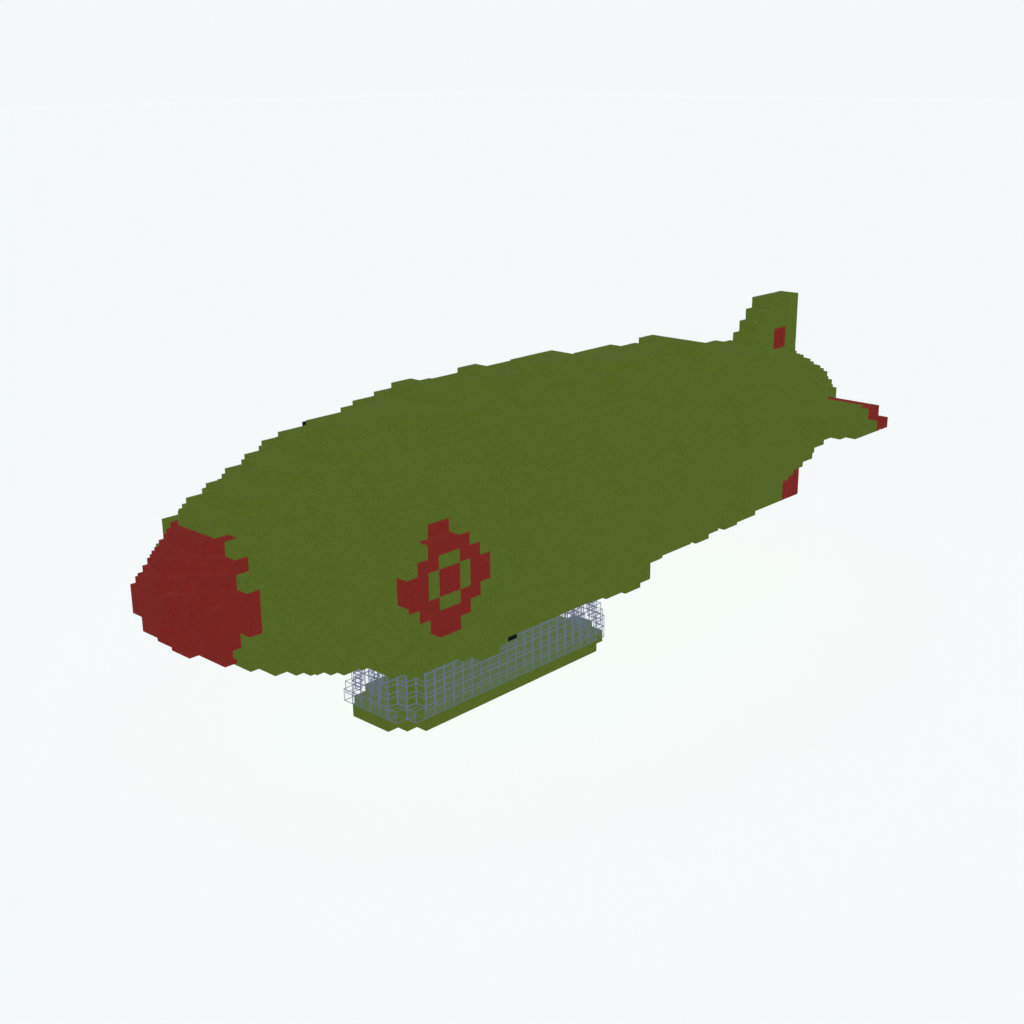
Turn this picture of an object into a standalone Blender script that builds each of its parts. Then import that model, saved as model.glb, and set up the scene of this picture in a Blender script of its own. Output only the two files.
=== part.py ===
"""Block-built airship, a scale model at 1:10 of one made from 1 m blocks.

Metres, +Z up, nose towards +X, port side towards +Y. The origin is on the
underside of the gondola's floor, at its middle, where the model stands.
Inside the script lengths are counted in blocks: s runs aft from the front
edge of the gondola's floor, w to port from the centre plane, and h up from
the underside of the floor.
"""

import itertools
import math

import bmesh
import bpy
import numpy as np
from mathutils import Matrix, Vector

BLOCK = 0.100  # edge of one block at 1:10
WALL = 0.010  # thickness of the envelope's shell
NOSE_WALL = 0.016  # the same at the nose, which meets the wind and the mooring mast
SEAT_GAP = 0.0003  # gap between pieces that rest on each other
RUN_GAP = 0.005  # gap round a moving control surface

ORIGIN_STATION = 12
AXIS_HEIGHT = 15  # height of the envelope's axis
GRID_STATIONS = (-20, 66)
GRID_HALF_WIDTH = 13
GRID_HEIGHT = 28

# first station, radius of the upper half, radius of the lower half, and how far
# the lower half's centre lies below the upper half's, all in blocks
RINGS = (
    (-18, 1.60, 1.60, 0),
    (-17, 2.60, 2.60, 0),
    (-16, 2.95, 3.60, 0),
    (-15, 3.85, 4.31, 0),
    (-14, 4.96, 4.96, 0),
    (-13, 5.15, 5.15, 0),
    (-12, 5.71, 5.71, 0),
    (-11, 6.05, 5.71, 0),
    (-10, 6.37, 6.68, 0),
    (-9, 6.53, 6.97, 0),
    (-8, 7.11, 7.39, 0),
    (-7, 7.39, 7.66, 0),
    (-6, 7.39, 7.91, 0),
    (-5, 7.91, 7.91, 0),
    (-4, 8.52, 8.64, 0),
    (-3, 8.64, 8.64, 0),
    (-2, 8.64, 8.80, 1),
    (-1, 8.64, 9.40, 1),
    (0, 8.75, 9.40, 1),
    (1, 8.87, 9.40, 1),
    (3, 9.20, 9.40, 1),
    (6, 9.83, 9.52, 1),
    (8, 9.63, 9.52, 1),
    (9, 9.52, 9.52, 1),
    (12, 9.63, 9.52, 1),
    (13, 9.83, 9.52, 1),
    (15, 9.52, 9.52, 1),
    (18, 9.63, 9.52, 1),
    (22, 9.63, 9.93, 1),
    (23, 8.75, 9.93, 1),
    (24, 8.75, 9.20, 0),
    (27, 8.87, 9.20, 0),
    (31, 8.87, 8.52, 0),
    (32, 8.52, 8.52, 0),
    (36, 8.87, 9.20, 0),
    (38, 6.05, 6.05, 2),
    (39, 6.97, 6.97, 2),
    (41, 6.97, 7.11, 2),
    (44, 6.97, 6.53, 0),
    (48, 6.68, 6.53, 0),
    (49, 6.53, 6.53, 0),
    (52, 6.05, 6.05, 0),
    (53, 5.71, 6.05, 0),
    (54, 5.15, 5.15, 0),
    (55, 4.75, 4.75, 0),
    (56, 4.31, 4.31, 0),
    (57, 3.85, 3.85, 0),
    (58, 3.60, 3.60, 0),
    (59, 2.95, 2.95, 0),
    (60, 2.60, 2.60, 0),
    (61, 1.60, 1.60, 0),
)
HULL_END = 62

# Between these stations the hull's underside is flat, at this height.
FLAT_STATIONS = (-2, 5)
FLAT_HEIGHT = 6
# Where it ends, a wider patch of one layer hangs below the rings; rows as in FLOOR_ROWS.
PATCH_HEIGHTS = (5, 6)
PATCH_ROWS = ((5, 6, -5, 5), (6, 8, -6, 6), (8, 10, -5, 5))

NOSE_PLATE = (-18, -17)  # stations of the solid plate that meets the mooring mast
# name of a length, first station, station where the next one starts, wall
ENVELOPE_LENGTHS = (
    ("envelope_nose_cap", NOSE_PLATE[1], -9, NOSE_WALL),
    ("envelope_bow", -9, 6, NOSE_WALL),
    ("envelope_middle", 6, 24, WALL),
    ("envelope_quarter", 24, 38, WALL),
    ("envelope_stern", 38, 49, WALL),
    ("envelope_tail_cone", 49, HULL_END, WALL),
)
# Each length is four quarter shells: their name, and the widths and heights they fill.
ENVELOPE_QUARTERS = (
    ("upper_port", (0, GRID_HALF_WIDTH), (AXIS_HEIGHT, GRID_HEIGHT)),
    ("upper_starboard", (-GRID_HALF_WIDTH, 0), (AXIS_HEIGHT, GRID_HEIGHT)),
    ("lower_port", (0, GRID_HALF_WIDTH), (0, AXIS_HEIGHT)),
    ("lower_starboard", (-GRID_HALF_WIDTH, 0), (0, AXIS_HEIGHT)),
)

# first station, station where the row ends, starboard edge, port edge
FLOOR_ROWS = (
    (0, 1, -2, 2),
    (1, 2, -3, 3),
    (2, 3, -3, 4),
    (3, 22, -4, 4),
    (22, 24, -3, 3),
    (24, 25, -1, 1),
)
FLOOR_TOP = 1

# lowest height, then rows as above: the outline of the glazing from that height up
GLAZING_LEVELS = (
    (1, ((0, 1, -3, 3), (1, 23, -4, 4), (23, 24, -3, 3), (24, 25, -2, 2))),
    (2, ((0, 1, -2, 2), (1, 2, -3, 3), (2, 23, -4, 4), (23, 24, -3, 3), (24, 25, -2, 2))),
    (3, ((0, 1, -2, 2), (1, 2, -3, 3), (2, 22, -4, 4), (22, 23, -3, 3), (23, 24, -2, 2))),
)
GLAZING_TOP = 9  # it ends on the envelope, which is lower than this

# node name, stations, widths: each holds the glazing's blocks in its range
GLAZING_PIECES = (
    ("gondola_glass_bow", (0, 2), (-4, 4)),
    ("gondola_glass_aft", (22, 25), (-4, 4)),
    ("gondola_glass_port", (2, 22), (0, 4)),
    ("gondola_glass_starboard", (2, 22), (-4, 0)),
)

# node name, stations, widths, heights
VENTS = (
    ("vent_low", (10, 11), (4, 5), (5, 6)),
    ("vent_top", (-1, 0), (-5, -4), (22, 23)),
)

# A fin's row at distance d from the axis starts at station FIN_RAKE + d.
FIN_RAKE = 41
FIN_ROOT = 3
# node name, direction across the fin's rows, last station, rows to this distance
FINS = (
    ("fin_top", "up", 56, 11),
    ("fin_lower", "down", 58, 10),
    ("fin_port", "port", 57, 10),
    ("fin_starboard", "starboard", 57, 10),
)
TIP_STATIONS = (51, 57)  # of the side fins' extra row, in their lower layer only

# node name, fin, hinge station, trailing station, nearest and furthest row
SURFACES = (
    ("rudder_upper", "fin_top", 55, 56, 6, 11),
    ("rudder_lower", "fin_lower", 56, 58, 7, 10),
    ("elevator_port", "fin_port", 56, 57, 6, 11),
    ("elevator_starboard", "fin_starboard", 56, 57, 6, 11),
)
NOSE_SIDES = 16  # flats round a control surface's nose
PIN_RADIUS = 0.020  # of the stub that carries a control surface in its fin's root
PIN_LENGTH = 0.040
PIN_SIDES = 16

GREEN = (0.079, 0.130, 0.017)
RED = (0.205, 0.017, 0.017)
BLACK = (0.004, 0.004, 0.005)
GLASS = (0.60, 0.68, 0.78)


def clear_scene():
    """Removes every object, so that the script starts from an empty scene."""
    for item in list(bpy.data.objects):
        bpy.data.objects.remove(item, do_unlink=True)


def make_material(name, colour, roughness, alpha=1.0):
    """A plain material of one colour."""
    material = bpy.data.materials.new(name)
    material.use_nodes = True
    shader = material.node_tree.nodes["Principled BSDF"]
    shader.inputs["Base Color"].default_value = (*colour, 1.0)
    shader.inputs["Roughness"].default_value = roughness
    shader.inputs["Metallic"].default_value = 0.0
    shader.inputs["Alpha"].default_value = alpha
    return material


def empty_grid():
    """A grid of blocks, none of them set, indexed by station, width and height."""
    first, last = GRID_STATIONS
    return np.zeros((last - first, 2 * GRID_HALF_WIDTH, GRID_HEIGHT), bool)


def fill(grid, s, w, h, value=True):
    """Sets the blocks between the given stations, widths and heights."""
    first = GRID_STATIONS[0]
    grid[
        s[0] - first : s[1] - first,
        w[0] + GRID_HALF_WIDTH : w[1] + GRID_HALF_WIDTH,
        h[0] : h[1],
    ] = value


def hull_blocks():
    """Every block of the envelope, as rings of two half discs of whole blocks.

    Where the lower half lies deeper, the rows between take its full width.
    Then the flat underside is cut level, and the patch behind it is added.
    """
    grid = empty_grid()
    widths = np.arange(2 * GRID_HALF_WIDTH) - GRID_HALF_WIDTH + 0.5
    heights = np.arange(GRID_HEIGHT) + 0.5 - AXIS_HEIGHT
    ends = [row[0] for row in RINGS[1:]] + [HULL_END]
    for (start, upper, lower, drop), end in zip(RINGS, ends):
        limit = np.where(heights > 0, upper, lower)
        offset = np.where(heights > 0, heights, np.minimum(heights + drop, -0.5))
        disc = np.hypot(widths[:, None], offset[None, :]) <= limit[None, :]
        a, b = start - GRID_STATIONS[0], end - GRID_STATIONS[0]
        grid[a:b] = disc[None]
    fill(grid, FLAT_STATIONS, (-GRID_HALF_WIDTH, GRID_HALF_WIDTH), (0, FLAT_HEIGHT), False)
    return grid | outline(PATCH_ROWS, PATCH_HEIGHTS)


def spread(grid, axis, join):
    """Splits each block in three along an axis: a thin layer, the middle and a thin layer.

    The thin layers are joined with the neighbour on their side: with
    np.logical_and the result is the grid shrunk by the layer's thickness,
    with np.logical_or it is the grid grown by it.
    """
    before = np.roll(grid, 1, axis)
    after = np.roll(grid, -1, axis)
    layers = np.stack([join(grid, before), grid, join(grid, after)], axis + 1)
    shape = list(grid.shape)
    shape[axis] *= 3
    return layers.reshape(shape)


def repeated(grid):
    """Each block as 3 x 3 x 3 cells."""
    for axis in range(3):
        grid = np.repeat(grid, 3, axis)
    return grid


def shrunk(grid):
    for axis in range(3):
        grid = spread(grid, axis, np.logical_and)
    return grid


def grown(grid):
    for axis in range(3):
        grid = spread(grid, axis, np.logical_or)
    return grid


def cell_edges(count, start, layer):
    """Places, in blocks, of the cell walls along one axis."""
    base = start + np.arange(count, dtype=float)
    return np.append(
        np.stack([base, base + layer, base + 1 - layer], 1).ravel(), start + count
    )


def to_world(s, w, h):
    """World coordinates of a place that is given in blocks."""
    return ((ORIGIN_STATION - s) * BLOCK, w * BLOCK, h * BLOCK)


def mesh_of_cells(cells, edges):
    """A closed mesh of the filled cells, with its flat stretches merged."""
    padded = np.pad(cells, 1)
    mesh = bmesh.new()
    made = {}

    def vertex(key):
        if key not in made:
            made[key] = mesh.verts.new(to_world(*(edges[i][key[i]] for i in range(3))))
        return made[key]

    for axis in range(3):
        for step in (-1, 1):
            bare = padded & ~np.roll(padded, -step, axis)
            u, v = (axis + 1) % 3, (axis + 2) % 3
            for place in np.argwhere(bare[1:-1, 1:-1, 1:-1]):
                corner = list(place)
                corner[axis] += step > 0
                ring = []
                for du, dv in ((0, 0), (1, 0), (1, 1), (0, 1)):
                    key = list(corner)
                    key[u] += du
                    key[v] += dv
                    ring.append(vertex(tuple(int(k) for k in key)))
                # X runs against s, so the faces turn the other way round.
                mesh.faces.new(ring if step < 0 else ring[::-1])
    mesh.normal_update()
    bmesh.ops.dissolve_limit(
        mesh,
        angle_limit=math.radians(1),
        verts=mesh.verts[:],
        edges=mesh.edges[:],
        delimit={"NORMAL"},
    )
    return mesh


def add_piece(name, mesh, material):
    """Turns a mesh into an object that carries the given material."""
    data = bpy.data.meshes.new(name)
    mesh.to_mesh(data)
    mesh.free()
    data.materials.append(material)
    piece = bpy.data.objects.new(name, data)
    bpy.context.scene.collection.objects.link(piece)
    return piece


def grid_edges(layer):
    """Places of the cell walls along all three axes, for a given thin layer."""
    first, last = GRID_STATIONS
    return [
        cell_edges(last - first, first, layer),
        cell_edges(2 * GRID_HALF_WIDTH, -GRID_HALF_WIDTH, layer),
        cell_edges(GRID_HEIGHT, 0, layer),
    ]


def make_envelope(hull, material):
    """The envelope's quarter shells, each open towards its neighbours."""
    cells = repeated(hull) & ~shrunk(hull)
    for length, start, end, wall in ENVELOPE_LENGTHS:
        last_edge = 3 * (end - GRID_STATIONS[0])
        rows = slice(3 * (start - GRID_STATIONS[0]), last_edge)
        for quarter, widths, heights in ENVELOPE_QUARTERS:
            edges = grid_edges(wall / BLOCK)
            edges[0][last_edge] -= SEAT_GAP / BLOCK
            first, last = (3 * (w + GRID_HALF_WIDTH) for w in widths)
            if widths[1] == 0:
                edges[1][last] -= SEAT_GAP / BLOCK
            if heights[1] == AXIS_HEIGHT:
                edges[2][3 * AXIS_HEIGHT] -= SEAT_GAP / BLOCK
            kept = np.zeros_like(cells)
            part = (rows, slice(first, last), slice(3 * heights[0], 3 * heights[1]))
            kept[part] = cells[part]
            add_piece(f"{length}_{quarter}", mesh_of_cells(kept, edges), material)


def make_nose_plate(hull, material):
    """The foremost blocks of the hull as one solid plate."""
    start, end = (s - GRID_STATIONS[0] for s in NOSE_PLATE)
    edges = grid_edges(SEAT_GAP / BLOCK)
    edges[0][3 * end] -= SEAT_GAP / BLOCK
    kept = np.zeros_like(hull)
    kept[start:end] = hull[start:end]
    add_piece("envelope_nose_plate", mesh_of_cells(repeated(kept), edges), material)


def outline(rows, heights):
    """Blocks of a flat outline that is given row by row along the stations."""
    grid = empty_grid()
    for first, last, starboard, port in rows:
        fill(grid, (first, last), (starboard, port), heights)
    return grid


def rim(volume, backing):
    """The outermost blocks of a volume, where neither it nor its backing goes on."""
    whole = volume | backing
    inner = whole.copy()
    for step in itertools.product((-1, 0, 1), repeat=3):
        inner &= np.roll(whole, step, (0, 1, 2))
    return volume & ~inner


def glazing_blocks(hull):
    """The gondola's glass walls, one block thick, from the floor to the envelope."""
    tops = [level[0] for level in GLAZING_LEVELS[1:]] + [GLAZING_TOP]
    cabin = empty_grid()
    for (bottom, rows), top in zip(GLAZING_LEVELS, tops):
        cabin |= outline(rows, (bottom, top))
    backing = hull.copy()
    backing[:, :, :FLOOR_TOP] = True
    return rim(cabin, backing) & ~hull


def fin_blocks(direction, last, reach):
    """The blocks of one fin, as if the envelope weren't there."""
    grid = empty_grid()
    for d in range(FIN_ROOT, reach):
        stations = (FIN_RAKE + d, last)
        if direction == "up":
            fill(grid, stations, (-1, 1), (AXIS_HEIGHT + d, AXIS_HEIGHT + d + 1))
        elif direction == "down":
            fill(grid, stations, (-1, 1), (AXIS_HEIGHT - d - 1, AXIS_HEIGHT - d))
        else:
            width = (d, d + 1) if direction == "port" else (-d - 1, -d)
            fill(grid, stations, width, (AXIS_HEIGHT - 1, AXIS_HEIGHT + 1))
    if direction in ("port", "starboard"):
        width = (reach, reach + 1) if direction == "port" else (-reach - 1, -reach)
        fill(grid, TIP_STATIONS, width, (AXIS_HEIGHT - 1, AXIS_HEIGHT))
    return grid


def seated(grid, *neighbours):
    """Cells of a piece, cut back by the thin layer where it meets its neighbours."""
    cells = repeated(grid)
    for other in neighbours:
        cells &= ~grown(other)
    return cells


def hinge_frame(direction, hinge):
    """World matrix of a hinge: X aft, Y along the hinge line, Z across the fin."""
    along = {
        "up": Vector((0, 0, 1)),
        "down": Vector((0, 0, -1)),
        "port": Vector((0, 1, 0)),
        "starboard": Vector((0, -1, 0)),
    }[direction]
    aft = Vector((-1, 0, 0))
    across = aft.cross(along)
    frame = Matrix((aft, along, across)).transposed().to_4x4()
    frame.translation = to_world(hinge, 0, AXIS_HEIGHT)
    return frame


def nose_profile(radius, chord):
    """Section of a control surface: a half round in front of the hinge, flat sides aft."""
    # The flats of the round lie on the given radius, so that its clearance is exact.
    corner = radius / math.cos(math.pi / (2 * NOSE_SIDES))
    points = [(chord, -radius), (0.0, -radius)]
    for i in range(NOSE_SIDES):
        turn = math.pi * (i + 0.5) / NOSE_SIDES
        points.append((-corner * math.sin(turn), -corner * math.cos(turn)))
    return points + [(0.0, radius), (chord, radius)]


def prism(profile, near, far):
    """A closed prism of a section in the hinge's XZ plane, along the hinge line."""
    mesh = bmesh.new()
    rings = [[mesh.verts.new((x, y, z)) for x, z in profile] for y in (near, far)]
    mesh.faces.new(rings[0])
    mesh.faces.new(rings[1][::-1])
    count = len(profile)
    for i in range(count):
        j = (i + 1) % count
        mesh.faces.new((rings[0][i], rings[1][i], rings[1][j], rings[0][j]))
    bmesh.ops.recalc_face_normals(mesh, faces=mesh.faces[:])
    return mesh


def round_profile(radius):
    """Section of a round bar whose corners lie on the given radius."""
    turns = [2 * math.pi * (i + 0.5) / PIN_SIDES for i in range(PIN_SIDES)]
    return [(radius * math.cos(turn), radius * math.sin(turn)) for turn in turns]


def combine(piece, helper, operation):
    """Joins a helper's volume to a piece or cuts it out; the helper stays hidden."""
    helper.hide_render = True
    helper.display_type = "WIRE"
    modifier = piece.modifiers.new(operation.lower(), "BOOLEAN")
    modifier.operation = operation
    modifier.solver = "EXACT"
    modifier.object = helper


def make_surface(row, fin, direction, material):
    """A control surface on its pin, with the round seat and the bore for it in its fin."""
    name, _, hinge, trailing, near, far = row
    frame = hinge_frame(direction, hinge)
    chord = (trailing - hinge) * BLOCK
    start, end = near * BLOCK, far * BLOCK
    tip = start - PIN_LENGTH

    def place(suffix, mesh):
        item = add_piece(name + suffix, mesh, material)
        item.matrix_world = frame
        return item

    piece = place("", prism(nose_profile(BLOCK, chord), start + RUN_GAP, end))
    combine(piece, place("_pin", prism(round_profile(PIN_RADIUS), tip, start + BLOCK)), "UNION")
    seat = prism(nose_profile(BLOCK + RUN_GAP, chord + BLOCK), start, end + BLOCK)
    combine(fin, place("_seat", seat), "DIFFERENCE")
    # The bore's flats, not its corners, keep the gap to the pin.
    bore = (PIN_RADIUS + SEAT_GAP) / math.cos(math.pi / PIN_SIDES)
    bored = prism(round_profile(bore), tip - SEAT_GAP, start + BLOCK)
    combine(fin, place("_bore", bored), "DIFFERENCE")
    return piece


def trim_tip(elevator, direction, reach, edges, material):
    """Cuts an elevator's tip down to the lower layer, where the fin has only that one."""
    block = empty_grid()
    width = (reach, reach + 2) if direction == "port" else (-reach - 2, -reach)
    fill(block, (54, 59), width, (AXIS_HEIGHT, AXIS_HEIGHT + 2))
    cutter = add_piece(elevator.name + "_tip", mesh_of_cells(repeated(block), edges), material)
    combine(elevator, cutter, "DIFFERENCE")


def main():
    clear_scene()
    green = make_material("green_block", GREEN, 0.9)
    glass = make_material("glass_block", GLASS, 0.2, 0.4)
    black = make_material("black_block", BLACK, 0.8)
    red = make_material("red_block", RED, 0.9)
    hull = hull_blocks()
    floor = outline(FLOOR_ROWS, (0, FLOOR_TOP))
    make_nose_plate(hull, green)
    make_envelope(hull, green)

    edges = grid_edges(SEAT_GAP / BLOCK)
    add_piece("gondola_floor", mesh_of_cells(repeated(floor), edges), green)

    vents = empty_grid()
    for name, *place in VENTS:
        vent = empty_grid()
        fill(vent, *place)
        vents |= vent
        add_piece(name, mesh_of_cells(seated(vent, hull), edges), black)

    glazing = glazing_blocks(hull) & ~vents
    taken = empty_grid()
    for name, stations, widths in GLAZING_PIECES:
        wall = empty_grid()
        fill(wall, stations, widths, (0, GLAZING_TOP))
        wall &= glazing
        cells = seated(wall, hull | floor | vents | taken)
        add_piece(name, mesh_of_cells(cells, edges), glass)
        taken |= wall

    made = {}
    for name, direction, last, reach in FINS:
        blocks = fin_blocks(direction, last, reach)
        fin = add_piece(name, mesh_of_cells(seated(blocks, hull), edges), green)
        made[name] = (fin, direction, reach)
    for row in SURFACES:
        fin, direction, reach = made[row[1]]
        material = green if row[0] == "rudder_upper" else red
        surface = make_surface(row, fin, direction, material)
        if direction in ("port", "starboard"):
            trim_tip(surface, direction, reach, edges, material)


if __name__ == "__main__":
    main()
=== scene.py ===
"""Looks of the block-built airship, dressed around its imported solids.

Metres, +Z up, nose towards +X, port side towards +Y. Places on the airship are
given in blocks: s runs aft from the front edge of the gondola's floor, w to port
from the centre plane, and h up from the underside of the floor.
"""

import itertools
import logging
import math
from dataclasses import dataclass, field
from enum import Enum

import bmesh
import bpy
import numpy as np
from mathutils import Matrix, Vector
from mathutils.bvhtree import BVHTree

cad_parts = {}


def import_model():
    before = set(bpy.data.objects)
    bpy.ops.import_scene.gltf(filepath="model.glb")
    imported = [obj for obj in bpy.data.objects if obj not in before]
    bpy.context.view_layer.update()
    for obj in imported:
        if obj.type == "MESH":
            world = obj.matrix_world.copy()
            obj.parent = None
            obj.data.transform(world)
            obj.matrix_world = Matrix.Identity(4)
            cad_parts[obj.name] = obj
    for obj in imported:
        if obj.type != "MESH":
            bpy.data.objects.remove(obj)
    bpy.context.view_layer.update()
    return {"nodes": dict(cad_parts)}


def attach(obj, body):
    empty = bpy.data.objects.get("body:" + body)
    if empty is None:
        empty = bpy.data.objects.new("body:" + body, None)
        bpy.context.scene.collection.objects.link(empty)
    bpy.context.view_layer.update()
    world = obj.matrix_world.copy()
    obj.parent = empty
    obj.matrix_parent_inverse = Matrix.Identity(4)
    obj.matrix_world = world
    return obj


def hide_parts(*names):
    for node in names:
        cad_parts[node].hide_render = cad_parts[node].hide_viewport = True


LOG = logging.getLogger("airship")
Colour = tuple[float, float, float]
Material = bpy.types.Material
Socket = bpy.types.NodeSocket


class Slot(Enum):
    """A material slot's name for the glass blocks; nothing in the script uses it."""

    GLASS = "glass_block"


class Band(Enum):
    """How a finish is laid out over the pieces that it dresses."""

    PLAIN = "plain"
    NOSE = "nose"
    SIDES = "sides"
    TAIL = "tail"


@dataclass(frozen=True)
class Lattice:
    """The grid of blocks that the airship is built on."""

    block: float = 0.100
    origin_station: float = 12.0

    def point(self, s: float, w: float, h: float) -> Vector:
        """The place, in metres, of a place that is given in blocks."""
        return Vector(((self.origin_station - s) * self.block, w * self.block, h * self.block))


LATTICE = Lattice()


@dataclass(frozen=True)
class Zone:
    """A box of blocks that is painted in a finish's second colour."""

    s: tuple[float, float]
    w: tuple[float, float]
    h: tuple[float, float]

    def centre(self) -> Vector:
        """Middle of the box, in metres."""
        return (self.corner(0) + self.corner(1)) / 2

    def half(self) -> Vector:
        """Half the box's size, in metres."""
        gap = self.corner(1) - self.corner(0)
        return Vector([abs(value) / 2 for value in gap])

    def corner(self, end: int) -> Vector:
        """One of the box's two far corners, in metres."""
        return LATTICE.point(self.s[end], self.w[end], self.h[end])


def both_sides(zones: list[Zone]) -> list[Zone]:
    """The zones of the port side, and the same ones mirrored to starboard."""
    return zones + [Zone(z.s, (-z.w[1], -z.w[0]), z.h) for z in zones]


@dataclass(frozen=True)
class Diamond:
    """A stepped diamond on each side of the hull: a ring of blocks round a square of four.

    A block belongs to it by the sum of its distances along and up from the centre.
    """

    s: float = 0.0
    h: float = 14.0
    ring: tuple[float, float] = (2.5, 4.5)
    core: float = 1.5
    inboard: float = 6.0


class Graph:
    """Shorthand for building a material's nodes."""

    def __init__(self, tree: bpy.types.NodeTree) -> None:
        """Keeps the tree that the nodes go into."""
        self.tree = tree

    def node(self, kind: str, inputs: dict | None = None, **settings: object) -> bpy.types.Node:
        """Adds a node.

        Args:
            kind: Blender's name of the node's type.
            inputs: a value or a socket for each input, by its name or its number.
            **settings: attributes of the node itself.

        Returns:
            The new node.
        """
        made = self.tree.nodes.new(kind)
        for name, value in settings.items():
            setattr(made, name, value)
        for key, value in (inputs or {}).items():
            if isinstance(value, bpy.types.NodeSocket):
                self.tree.links.new(value, made.inputs[key])
            else:
                made.inputs[key].default_value = value
        return made

    def math(self, operation: str, *values: float | Socket) -> Socket:
        """A Math node's result."""
        return self.node("ShaderNodeMath", dict(enumerate(values)), operation=operation).outputs[0]

    def vector(self, operation: str, *values: object) -> Socket:
        """A Vector Math node's vector."""
        made = self.node("ShaderNodeVectorMath", dict(enumerate(values)), operation=operation)
        return made.outputs[0]

    def mix(self, share: float | Socket, first: object, second: object) -> Socket:
        """Two colours mixed by a share."""
        made = self.node("ShaderNodeMix", {0: share, 6: first, 7: second}, data_type="RGBA")
        return made.outputs[2]

    def grey(self, value: Socket) -> Socket:
        """A number as a grey colour."""
        return self.node("ShaderNodeCombineColor", {0: value, 1: value, 2: value}).outputs[0]

    def tinted(self, colour: object, tone: Socket) -> Socket:
        """A colour made lighter or darker by a number round 1."""
        inputs = {0: 1.0, 6: colour, 7: self.grey(tone)}
        made = self.node("ShaderNodeMix", inputs, data_type="RGBA", blend_type="MULTIPLY")
        return made.outputs[2]

    def largest(self, vector: Socket) -> Socket:
        """The largest of a vector's three numbers."""
        parts = self.node("ShaderNodeSeparateXYZ", {0: vector}).outputs
        return self.math("MAXIMUM", self.math("MAXIMUM", parts[0], parts[1]), parts[2])


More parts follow.
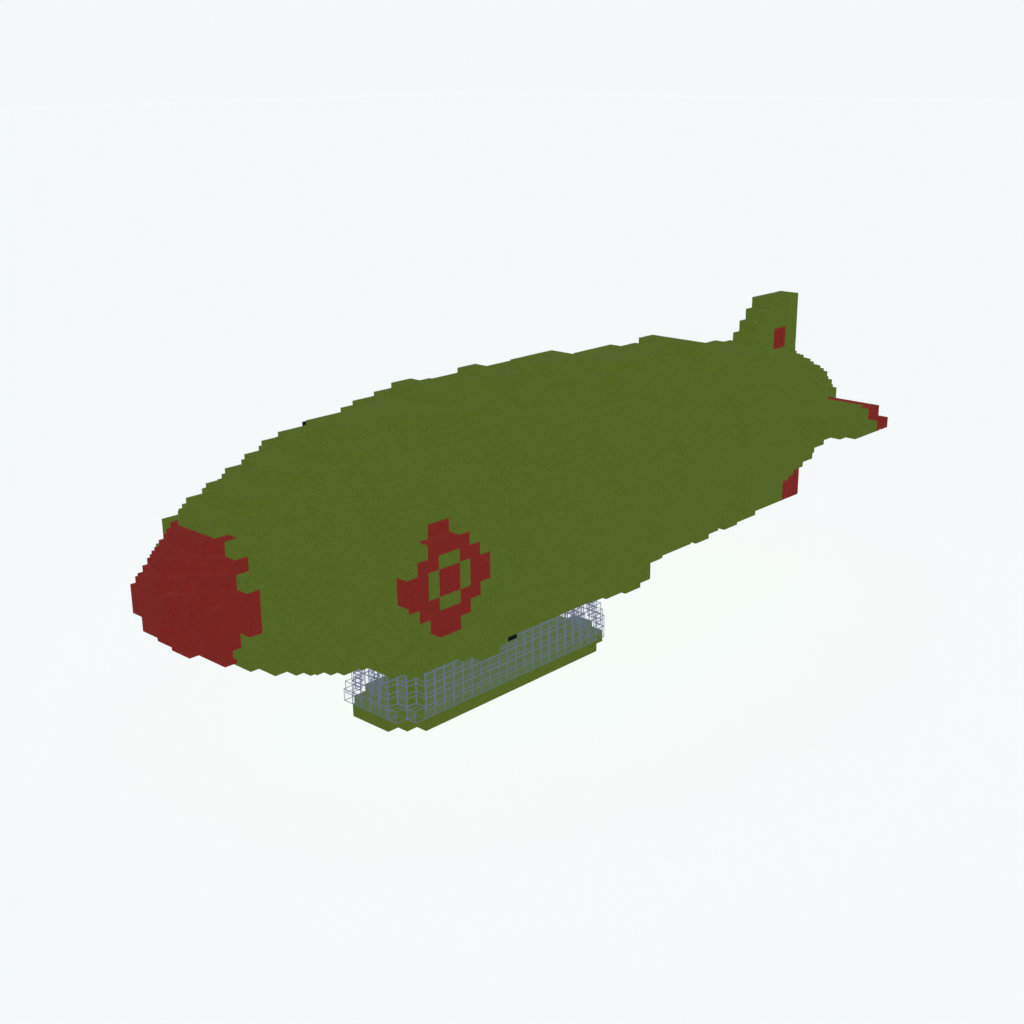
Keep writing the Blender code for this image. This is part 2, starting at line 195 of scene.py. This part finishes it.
@dataclass(frozen=True)
class FeltFinish:
    """Matt blocks with a fine felted grain, in one colour or with painted blocks.

    The grain is a square mesh of stitches, each a sixteenth of a block's edge
    across. Every block has a tone of its own, and a fine joint runs round it.
    """

    name: str
    colour: Colour = (0.0790, 0.1222, 0.0154)
    painted: Colour = (0.1714, 0.0155, 0.0125)
    stitches: int = 16
    stitch_depth: float = 0.28
    block_depth: float = 0.015
    cloud_depth: float = 0.015
    joint_depth: float = 0.16
    joint_width: float = 0.012
    roughness: float = 0.92

    def build(self, zones: list[Zone], diamond: Diamond | None = None) -> Material:
        """The finish as a material.

        Args:
            zones: boxes of blocks that take the second colour.
            diamond: the device on the hull's sides, in the second colour too.

        Returns:
            The new material.
        """
        material = bpy.data.materials.new(self.name)
        material.use_nodes = True
        graph = Graph(material.node_tree)
        shader = material.node_tree.nodes["Principled BSDF"]
        place = graph.node("ShaderNodeTexCoord")
        # A point a little inside the face belongs to that face's own block.
        inward = graph.node(
            "ShaderNodeVectorMath",
            {0: place.outputs["Normal"], "Scale": -0.3 * LATTICE.block},
            operation="SCALE",
        ).outputs[0]
        inside = graph.vector("ADD", place.outputs["Object"], inward)
        blocks = graph.vector("DIVIDE", inside, (LATTICE.block,) * 3)
        block = graph.vector("FLOOR", blocks)
        stitch = graph.vector("FLOOR", graph.vector("MULTIPLY", blocks, (self.stitches,) * 3))
        joint = self.joint(graph, blocks)
        colour: object = (*self.colour, 1.0)
        masks = [self.zone_mask(graph, inside, zone) for zone in zones]
        if diamond:
            masks.append(self.diamond_mask(graph, block, diamond))
        if masks:
            mask = masks[0]
            for other in masks[1:]:
                mask = graph.math("MAXIMUM", mask, other)
            colour = graph.mix(mask, colour, (*self.painted, 1.0))
        dyed = graph.tinted(colour, self.tone(graph, block, stitch, blocks, joint))
        material.node_tree.links.new(dyed, shader.inputs["Base Color"])
        relief = self.relief(graph, blocks, stitch, joint)
        material.node_tree.links.new(relief, shader.inputs["Normal"])
        shader.inputs["Roughness"].default_value = self.roughness
        shader.inputs["Sheen Weight"].default_value = 0.02
        shader.inputs["Sheen Roughness"].default_value = 0.6
        shader.inputs["Specular IOR Level"].default_value = 0.05
        return material

    def joint(self, graph: Graph, blocks: Socket) -> Socket:
        """1 on the joint between two blocks, falling to 0 at its edge."""
        share = graph.vector("SUBTRACT", graph.vector("FRACTION", blocks), (0.5,) * 3)
        reach = graph.largest(graph.vector("ABSOLUTE", share))
        return graph.node(
            "ShaderNodeMapRange",
            {"Value": reach, "From Min": 0.5 - self.joint_width, "From Max": 0.5},
        ).outputs[0]

    def tone(
        self, graph: Graph, block: Socket, stitch: Socket, blocks: Socket, joint: Socket
    ) -> Socket:
        """Brightness of each point, round 1: by its block, its stitch, in clouds and joints."""
        total: float | Socket = 1.0
        for cell, depth in ((block, self.block_depth), (stitch, self.stitch_depth)):
            noise = graph.node("ShaderNodeTexWhiteNoise", {0: cell}).outputs[0]
            part = graph.math("MULTIPLY", graph.math("SUBTRACT", noise, 0.5), depth)
            total = graph.math("ADD", total, part)
        cloud = graph.node("ShaderNodeTexNoise", {"Vector": blocks, "Scale": 0.35, "Detail": 3.0})
        part = graph.math("SUBTRACT", cloud.outputs[0], 0.5)
        total = graph.math("ADD", total, graph.math("MULTIPLY", part, self.cloud_depth * 2))
        return graph.math("SUBTRACT", total, graph.math("MULTIPLY", joint, self.joint_depth))

    def relief(self, graph: Graph, blocks: Socket, stitch: Socket, joint: Socket) -> Socket:
        """Normal of the felt: uneven stitches under a fine nap, sunk at the joints."""
        height = graph.node("ShaderNodeTexWhiteNoise", {0: stitch}).outputs[0]
        nap = graph.node("ShaderNodeTexNoise", {"Vector": blocks, "Scale": 60.0, "Detail": 2.0})
        mixed = graph.math("ADD", height, nap.outputs[0])
        sunk = graph.math("SUBTRACT", mixed, graph.math("MULTIPLY", joint, 1.5))
        bump = graph.node("ShaderNodeBump", {"Strength": 0.25, "Distance": 0.0012, "Height": sunk})
        return bump.outputs[0]

    @staticmethod
    def zone_mask(graph: Graph, inside: Socket, zone: Zone) -> Socket:
        """1 in the zone's blocks and 0 elsewhere."""
        offset = graph.vector("ABSOLUTE", graph.vector("SUBTRACT", inside, tuple(zone.centre())))
        over = graph.vector("SUBTRACT", offset, tuple(zone.half()))
        return graph.math("LESS_THAN", graph.largest(over), 0.0)

    @staticmethod
    def diamond_mask(graph: Graph, block: Socket, diamond: Diamond) -> Socket:
        """1 in the diamond's blocks and 0 elsewhere."""
        # The centre's place along each axis, in blocks, less the half block to a block's middle.
        centre = LATTICE.point(diamond.s, 0.0, diamond.h) / LATTICE.block - Vector((0.5,) * 3)
        offset = graph.vector("ABSOLUTE", graph.vector("SUBTRACT", block, tuple(centre)))
        parts = graph.node("ShaderNodeSeparateXYZ", {0: offset}).outputs
        reach = graph.math("ADD", parts[0], parts[2])
        ring = graph.math(
            "MULTIPLY",
            graph.math("GREATER_THAN", reach, diamond.ring[0]),
            graph.math("LESS_THAN", reach, diamond.ring[1]),
        )
        shape = graph.math("MAXIMUM", ring, graph.math("LESS_THAN", reach, diamond.core))
        side = graph.math("GREATER_THAN", parts[1], diamond.inboard)
        return graph.math("MULTIPLY", shape, side)


@dataclass(frozen=True)
class FrameFinish:
    """Slate-blue enamel of the strips that edge each glass block."""

    name: str = "enamel_slate"
    light: Colour = (0.128, 0.158, 0.215)
    dark: Colour = (0.090, 0.112, 0.154)
    chips: float = 45.0
    roughness: float = 0.45

    def build(self) -> Material:
        """The enamel as a material, with uneven tone and a slight orange peel."""
        material = bpy.data.materials.new(self.name)
        material.use_nodes = True
        graph = Graph(material.node_tree)
        shader = material.node_tree.nodes["Principled BSDF"]
        place = graph.node("ShaderNodeTexCoord").outputs["Object"]
        patch = graph.node(
            "ShaderNodeTexNoise", {"Vector": place, "Scale": self.chips, "Detail": 4.0}
        )
        colour = graph.mix(patch.outputs[0], (*self.dark, 1.0), (*self.light, 1.0))
        material.node_tree.links.new(colour, shader.inputs["Base Color"])
        peel = graph.node("ShaderNodeTexNoise", {"Vector": place, "Scale": 900.0, "Detail": 1.0})
        bump = graph.node(
            "ShaderNodeBump", {"Strength": 0.1, "Distance": 0.0004, "Height": peel.outputs[0]}
        )
        material.node_tree.links.new(bump.outputs[0], shader.inputs["Normal"])
        shader.inputs["Roughness"].default_value = self.roughness
        shader.inputs["Specular IOR Level"].default_value = 0.2
        return material


@dataclass(frozen=True)
class PaneFinish:
    """Clear sheet glass with a faint blue tint and wiping marks."""

    name: str = "glass_clear"
    colour: Colour = (0.20, 0.26, 0.52)
    opacity: float = 0.032
    smear: float = 0.028
    roughness: float = 0.12

    def build(self) -> Material:
        """The glass as a material, a little cloudier where it was wiped."""
        material = bpy.data.materials.new(self.name)
        material.use_nodes = True
        graph = Graph(material.node_tree)
        shader = material.node_tree.nodes["Principled BSDF"]
        place = graph.node("ShaderNodeTexCoord").outputs["Object"]
        wiped = graph.vector("MULTIPLY", place, (14.0, 14.0, 5.0))
        smear = graph.node("ShaderNodeTexNoise", {"Vector": wiped, "Scale": 1.0, "Detail": 5.0})
        cloudy = graph.math("MULTIPLY", smear.outputs[0], self.smear)
        material.node_tree.links.new(
            graph.math("ADD", cloudy, self.opacity), shader.inputs["Alpha"]
        )
        shader.inputs["Base Color"].default_value = (*self.colour, 1.0)
        shader.inputs["Roughness"].default_value = self.roughness
        shader.inputs["Specular IOR Level"].default_value = 0.3
        return material


class Solid:
    """A CAD node's volume, for telling which places lie inside it."""

    def __init__(self, node: bpy.types.Object) -> None:
        """Reads the node's mesh and its box."""
        points = [vertex.co.copy() for vertex in node.data.vertices]
        faces = [tuple(face.vertices) for face in node.data.polygons]
        self.tree = BVHTree.FromPolygons(points, faces)
        corners = np.array([tuple(point) for point in points])
        self.low, self.high = corners.min(0), corners.max(0)

    def holds(self, place: np.ndarray) -> bool:
        """Whether a place lies inside, by counting the faces on a line out of it."""
        if (place < self.low).any() or (place > self.high).any():
            return False
        ahead = Vector((0.5774, 0.3141, 0.7538)).normalized()
        origin, count = Vector(place), 0
        while (hit := self.tree.ray_cast(origin, ahead)[0]) is not None:
            origin, count = hit + ahead * 1e-5, count + 1
        return count % 2 == 1


def add_object(name: str, points: np.ndarray, faces: np.ndarray) -> bpy.types.Object:
    """A new mesh object from its points, in metres, and its faces."""
    data = bpy.data.meshes.new(name)
    data.from_pydata(points.tolist(), [], faces.tolist())
    data.validate()
    piece = bpy.data.objects.new(name, data)
    bpy.context.scene.collection.objects.link(piece)
    return piece


def dress(piece: bpy.types.Object, material: Material) -> None:
    """Gives a piece its only material."""
    piece.data.materials.clear()
    piece.data.materials.append(material)
    LOG.info("%s: %s", piece.name, material.name)


@dataclass
class Glazing:
    """The gondola's glass blocks: a strip round each bare face, and a pane inside it."""

    node: bpy.types.Object
    body: str
    strip: float = 0.0034
    pane_depth: tuple[float, float] = (0.0012, 0.0028)
    probe: float = 0.005
    blocks: set[tuple[int, int, int]] = field(default_factory=set)

    def find_blocks(self) -> None:
        """Lists the blocks that the CAD node fills, by their corner in whole blocks."""
        solid = Solid(self.node)
        edge = LATTICE.block
        first = np.floor(solid.low / edge + 0.1).astype(int)
        last = np.ceil(solid.high / edge - 0.1).astype(int)
        for key in itertools.product(*(range(a, b) for a, b in zip(first, last))):
            if solid.holds((np.array(key) + 0.5) * edge):
                self.blocks.add(key)

    def bare_faces(self, solids: list[Solid]) -> list[tuple[tuple[int, int, int], int, int]]:
        """The faces of its blocks that no solid touches: block, axis and side."""
        edge = LATTICE.block
        found = []
        for key, axis, side in itertools.product(sorted(self.blocks), range(3), (0, 1)):
            place = (np.array(key) + 0.5) * edge
            place[axis] += (edge / 2 + self.probe) * (1 if side else -1)
            if not any(solid.holds(place) for solid in solids):
                found.append((key, axis, side))
        return found

    def build(self, solids: list[Solid], enamel: Material, glass: Material) -> None:
        """Makes the strips and the panes, and puts them in the CAD node's place.

        Args:
            solids: every solid that may cover one of the blocks' faces.
            enamel: material of the strips.
            glass: material of the panes.
        """
        self.find_blocks()
        faces = self.bare_faces(solids)
        for suffix, piece, material in (
            ("_strips", self.strips(faces), enamel),
            ("_panes", self.panes(faces), glass),
        ):
            piece.name = self.node.name + suffix
            dress(piece, material)
            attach(piece, self.body)
            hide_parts(self.node.name)
        LOG.info("%s: %d blocks, %d bare faces", self.node.name, len(self.blocks), len(faces))

    def strips(self, faces: list[tuple[tuple[int, int, int], int, int]]) -> bpy.types.Object:
        """One closed mesh of square bars along the edges of every bare face."""
        keys = np.array([key for key, _, _ in faces])
        first, last = keys.min(0), keys.max(0) + 1
        cells = np.zeros(3 * (last - first), bool)
        for key, axis, side in faces:
            corner = 3 * (np.array(key) - first)
            part = [slice(c, c + 3) for c in corner]
            part[axis] = corner[axis] + 2 * side
            ring = np.ones((3, 3), bool)
            ring[1, 1] = False
            cells[tuple(part)] |= ring
        share = self.strip / LATTICE.block
        walls = []
        for axis in range(3):
            base = first[axis] + np.arange(last[axis] - first[axis], dtype=float)
            rows = np.stack([base, base + share, base + 1 - share], 1).ravel()
            walls.append(np.append(rows, last[axis]) * LATTICE.block)
        return add_object("strips", *self.skin(cells, walls))

    @staticmethod
    def skin(cells: np.ndarray, walls: list[np.ndarray]) -> tuple[np.ndarray, np.ndarray]:
        """Points and four-sided faces of the outside of a set of filled cells."""
        padded = np.pad(cells, 1)
        rings = []
        for axis, step in itertools.product(range(3), (-1, 1)):
            bare = padded & ~np.roll(padded, -step, axis)
            places = np.argwhere(bare[1:-1, 1:-1, 1:-1])
            places[:, axis] += step > 0
            u, v = np.eye(3, dtype=int)[[(axis + 1) % 3, (axis + 2) % 3]]
            turn = (0 * u, u, u + v, v) if step > 0 else (0 * u, v, u + v, u)
            rings.append(np.stack([places + move for move in turn], 1))
        corners = np.concatenate(rings)
        keys, index = np.unique(corners.reshape(-1, 3), axis=0, return_inverse=True)
        points = np.stack([walls[axis][keys[:, axis]] for axis in range(3)], 1)
        return points, index.reshape(-1, 4)

    def panes(self, faces: list[tuple[tuple[int, int, int], int, int]]) -> bpy.types.Object:
        """A thin closed plate in the strips of every face that looks out across the wall."""
        edge = LATTICE.block
        across = int(np.argmin(np.ptp(np.array(list(self.blocks)), 0)[:2]))
        faces = [
            (key, axis, side)
            for key, axis, side in faces
            if axis == across and (key[axis] + 0.5 > 0) == bool(side)
        ]
        unit = np.array(list(itertools.product((0, 1), repeat=3)))
        sides = np.array(
            [(0, 1, 3, 2), (4, 6, 7, 5), (0, 4, 5, 1), (2, 3, 7, 6), (0, 2, 6, 4), (1, 5, 7, 3)]
        )
        points, plates = [], []
        for number, (key, axis, side) in enumerate(faces):
            low = np.array(key) * edge + self.strip
            high = (np.array(key) + 1) * edge - self.strip
            near, far = self.pane_depth
            if side:
                low[axis], high[axis] = (key[axis] + 1) * edge - far, (key[axis] + 1) * edge - near
            else:
                low[axis], high[axis] = key[axis] * edge + near, key[axis] * edge + far
            points.append(low + unit * (high - low))
            plates.append(sides + 8 * number)
        return add_object("panes", np.concatenate(points), np.concatenate(plates))


@dataclass
class Gondola:
    """The cabin under the hull: a floor of green blocks and four lengths of glazing."""

    floor: str = "gondola_floor"
    glazing: tuple[str, ...] = (
        "gondola_glass_bow",
        "gondola_glass_port",
        "gondola_glass_starboard",
        "gondola_glass_aft",
    )
    body: str = "airframe"

    def build(self, nodes: dict[str, bpy.types.Object], felt: Material) -> None:
        """Dresses the floor and makes the glazing.

        Args:
            nodes: the CAD nodes by name.
            felt: material of the floor.
        """
        dress(nodes[self.floor], felt)
        enamel, glass = FrameFinish().build(), PaneFinish().build()
        solids = [Solid(node) for node in nodes.values()]
        for name in self.glazing:
            Glazing(nodes[name], self.body).build(solids, enamel, glass)


@dataclass
class Envelope:
    """The hull: quarter shells of green blocks, with a red nose and a device on each side."""

    nose: tuple[str, ...] = ("envelope_nose_plate", "envelope_nose_cap")
    sides: tuple[str, ...] = ("envelope_bow",)
    rest: tuple[str, ...] = (
        "envelope_middle",
        "envelope_quarter",
        "envelope_stern",
        "envelope_tail_cone",
    )
    # Everything ahead of this station is red, and at it the blocks in the rows below.
    border: float = -14.0
    border_rows: tuple[tuple[float, float, float], ...] = (
        (10, 11, 2),
        (13, 16, 6),
        (17, 18, 6),
        (18, 19, 3),
    )

    def nose_zones(self) -> list[Zone]:
        """The red blocks of the nose, whose rim runs up and down from row to row."""
        zones = [Zone((-18, self.border), (-8, 8), (0, 28))]
        for bottom, top, reach in self.border_rows:
            zones.append(Zone((self.border, self.border + 1), (-reach, reach), (bottom, top)))
        return zones

    def build(self, nodes: dict[str, bpy.types.Object], plain: Material) -> None:
        """Dresses every shell of the hull.

        Args:
            nodes: the CAD nodes by name.
            plain: material of the lengths that are green all over.
        """
        finishes = (
            (self.nose, FeltFinish("felt_" + Band.NOSE.value).build(self.nose_zones())),
            (self.sides, FeltFinish("felt_" + Band.SIDES.value).build([], Diamond())),
            (self.rest, plain),
        )
        for starts, material in finishes:
            for name, node in nodes.items():
                if name.startswith(starts):
                    dress(node, material)


@dataclass
class Tail:
    """Four fins with their rudders and elevators, green with red tips and trailing edges."""

    top: tuple[str, ...] = ("fin_top", "rudder_upper")
    lower: tuple[str, ...] = ("fin_lower", "rudder_lower")
    level: tuple[str, ...] = ("fin_port", "fin_starboard", "elevator_port", "elevator_starboard")
    patch: Zone = Zone((52, 54), (-1, 1), (21, 23))
    lower_edge: tuple[Zone, ...] = (Zone((55, 58), (-1, 1), (5, 7)), Zone((56, 58), (-1, 1), (7, 9)))
    level_edge: tuple[Zone, ...] = (
        Zone((56, 57), (3, 11), (14, 16)),
        Zone((55, 57), (9, 10), (15, 16)),
        Zone((55, 57), (10, 11), (14, 15)),
    )

    def build(self, nodes: dict[str, bpy.types.Object]) -> None:
        """Dresses the fins and the control surfaces."""
        for names, zones in (
            (self.top, [self.patch]),
            (self.lower, list(self.lower_edge)),
            (self.level, both_sides(list(self.level_edge))),
        ):
            material = FeltFinish(f"felt_{Band.TAIL.value}_{names[0]}").build(zones)
            for name in names:
                dress(nodes[name], material)


@dataclass
class Vents:
    """Two small black boxes, one on the hull's back and one under its port side."""

    names: tuple[str, ...] = ("vent_low", "vent_top")
    colour: Colour = (0.004, 0.004, 0.005)

    def build(self, nodes: dict[str, bpy.types.Object]) -> None:
        """Dresses both boxes."""
        material = FeltFinish("felt_black", self.colour, stitch_depth=0.5).build([])
        for name in self.names:
            dress(nodes[name], material)


@dataclass(frozen=True)
class Studio:
    """Pale floor, even soft light, and the camera at the photograph's place."""

    place: tuple[float, float, float] = (7.460, 7.351, 4.805)
    yaw: float = -136.884
    pitch: float = -18.021
    roll: float = -0.491
    focal_pixels: float = 1396.36
    frame_pixels: float = 1024.0
    sensor: float = 36.0
    floor_half: float = 150.0
    backdrop: Colour = (0.905, 0.939, 0.947)
    paper: Colour = (0.882, 0.915, 0.923)
    # The floor is this dark where light bounces off it, so that it lights no undersides.
    bounce: Colour = (0.12, 0.12, 0.12)
    fill: float = 0.06
    lamp_angle: float = 1.0
    # name, side that the lamp shines from, and the light that it gives a face turned to it
    lamps: tuple[tuple[str, tuple[int, int, int], float], ...] = (
        ("front", (1, 0, 0), 0.935),
        ("back", (-1, 0, 0), 0.935),
        ("port", (0, 1, 0), 0.965),
        ("starboard", (0, -1, 0), 0.965),
        ("top", (0, 0, 1), 0.97),
        ("bottom", (0, 0, -1), 0.62),
    )

    def build(self) -> None:
        """Makes the camera, the floor, the world and the lights."""
        self.camera()
        self.floor()
        self.world()
        self.suns()
        bpy.context.scene.view_settings.view_transform = "Standard"

    def camera(self) -> None:
        """The camera, at the photograph's place, angle and field of view."""
        data = bpy.data.cameras.new("camera")
        data.sensor_width = self.sensor
        data.sensor_fit = "HORIZONTAL"
        data.lens = self.focal_pixels / self.frame_pixels * self.sensor
        data.clip_end = 500.0
        camera = bpy.data.objects.new("camera", data)
        bpy.context.scene.collection.objects.link(camera)
        yaw, pitch = math.radians(self.yaw), math.radians(self.pitch)
        level = math.cos(pitch)
        ahead = Vector((level * math.cos(yaw), level * math.sin(yaw), math.sin(pitch)))
        right = ahead.cross(Vector((0, 0, 1))).normalized()
        up = right.cross(ahead)
        turn = Matrix.Rotation(math.radians(-self.roll), 3, ahead)
        right, up = turn @ right, turn @ up
        matrix = Matrix((right, up, -ahead)).transposed().to_4x4()
        matrix.translation = Vector(self.place)
        camera.matrix_world = matrix
        bpy.context.scene.camera = camera

    def floor(self) -> None:
        """A plain pale floor under the airship."""
        mesh = bmesh.new()
        bmesh.ops.create_grid(mesh, x_segments=4, y_segments=4, size=self.floor_half)
        data = bpy.data.meshes.new("studio_floor")
        mesh.to_mesh(data)
        mesh.free()
        floor = bpy.data.objects.new("studio_floor", data)
        bpy.context.scene.collection.objects.link(floor)
        floor.location.z = -0.001
        material = bpy.data.materials.new("studio_paper")
        material.use_nodes = True
        graph = Graph(material.node_tree)
        shader = material.node_tree.nodes["Principled BSDF"]
        seen = graph.node("ShaderNodeLightPath").outputs["Is Camera Ray"]
        colour = graph.mix(seen, (*self.bounce, 1.0), (*self.paper, 1.0))
        material.node_tree.links.new(colour, shader.inputs["Base Color"])
        shader.inputs["Roughness"].default_value = 1.0
        shader.inputs["Specular IOR Level"].default_value = 0.0
        data.materials.append(material)

    def world(self) -> None:
        """A pale backdrop that lights the airship less than it shows."""
        world = bpy.data.worlds.new("studio_world")
        world.use_nodes = True
        graph = Graph(world.node_tree)
        background = world.node_tree.nodes["Background"]
        background.inputs["Color"].default_value = (*self.backdrop, 1.0)
        seen = graph.node("ShaderNodeLightPath").outputs["Is Camera Ray"]
        light = graph.math("ADD", graph.math("MULTIPLY", seen, 1.0 - self.fill), self.fill)
        world.node_tree.links.new(light, background.inputs["Strength"])
        bpy.context.scene.world = world

    def suns(self) -> None:
        """Even lamps from six sides, which cast no shadow."""
        for name, side, share in self.lamps:
            data = bpy.data.lights.new("studio_" + name, "SUN")
            data.energy = math.pi * share
            data.angle = math.radians(self.lamp_angle)
            data.use_shadow = False
            lamp = bpy.data.objects.new("studio_" + name, data)
            bpy.context.scene.collection.objects.link(lamp)
            lamp.rotation_euler = Vector(side).to_track_quat("Z", "Y").to_euler()


def main() -> None:
    """Loads the frame, dresses each sub-assembly and reports on it."""
    logging.basicConfig(level=logging.INFO, format="%(name)s: %(message)s")
    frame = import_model()
    nodes = frame["nodes"]
    Studio().build()
    plain = FeltFinish("felt_" + Band.PLAIN.value).build([])
    Envelope().build(nodes, plain)
    Gondola().build(nodes, plain)
    Tail().build(nodes)
    Vents().build(nodes)


if __name__ == "__main__":
    main()
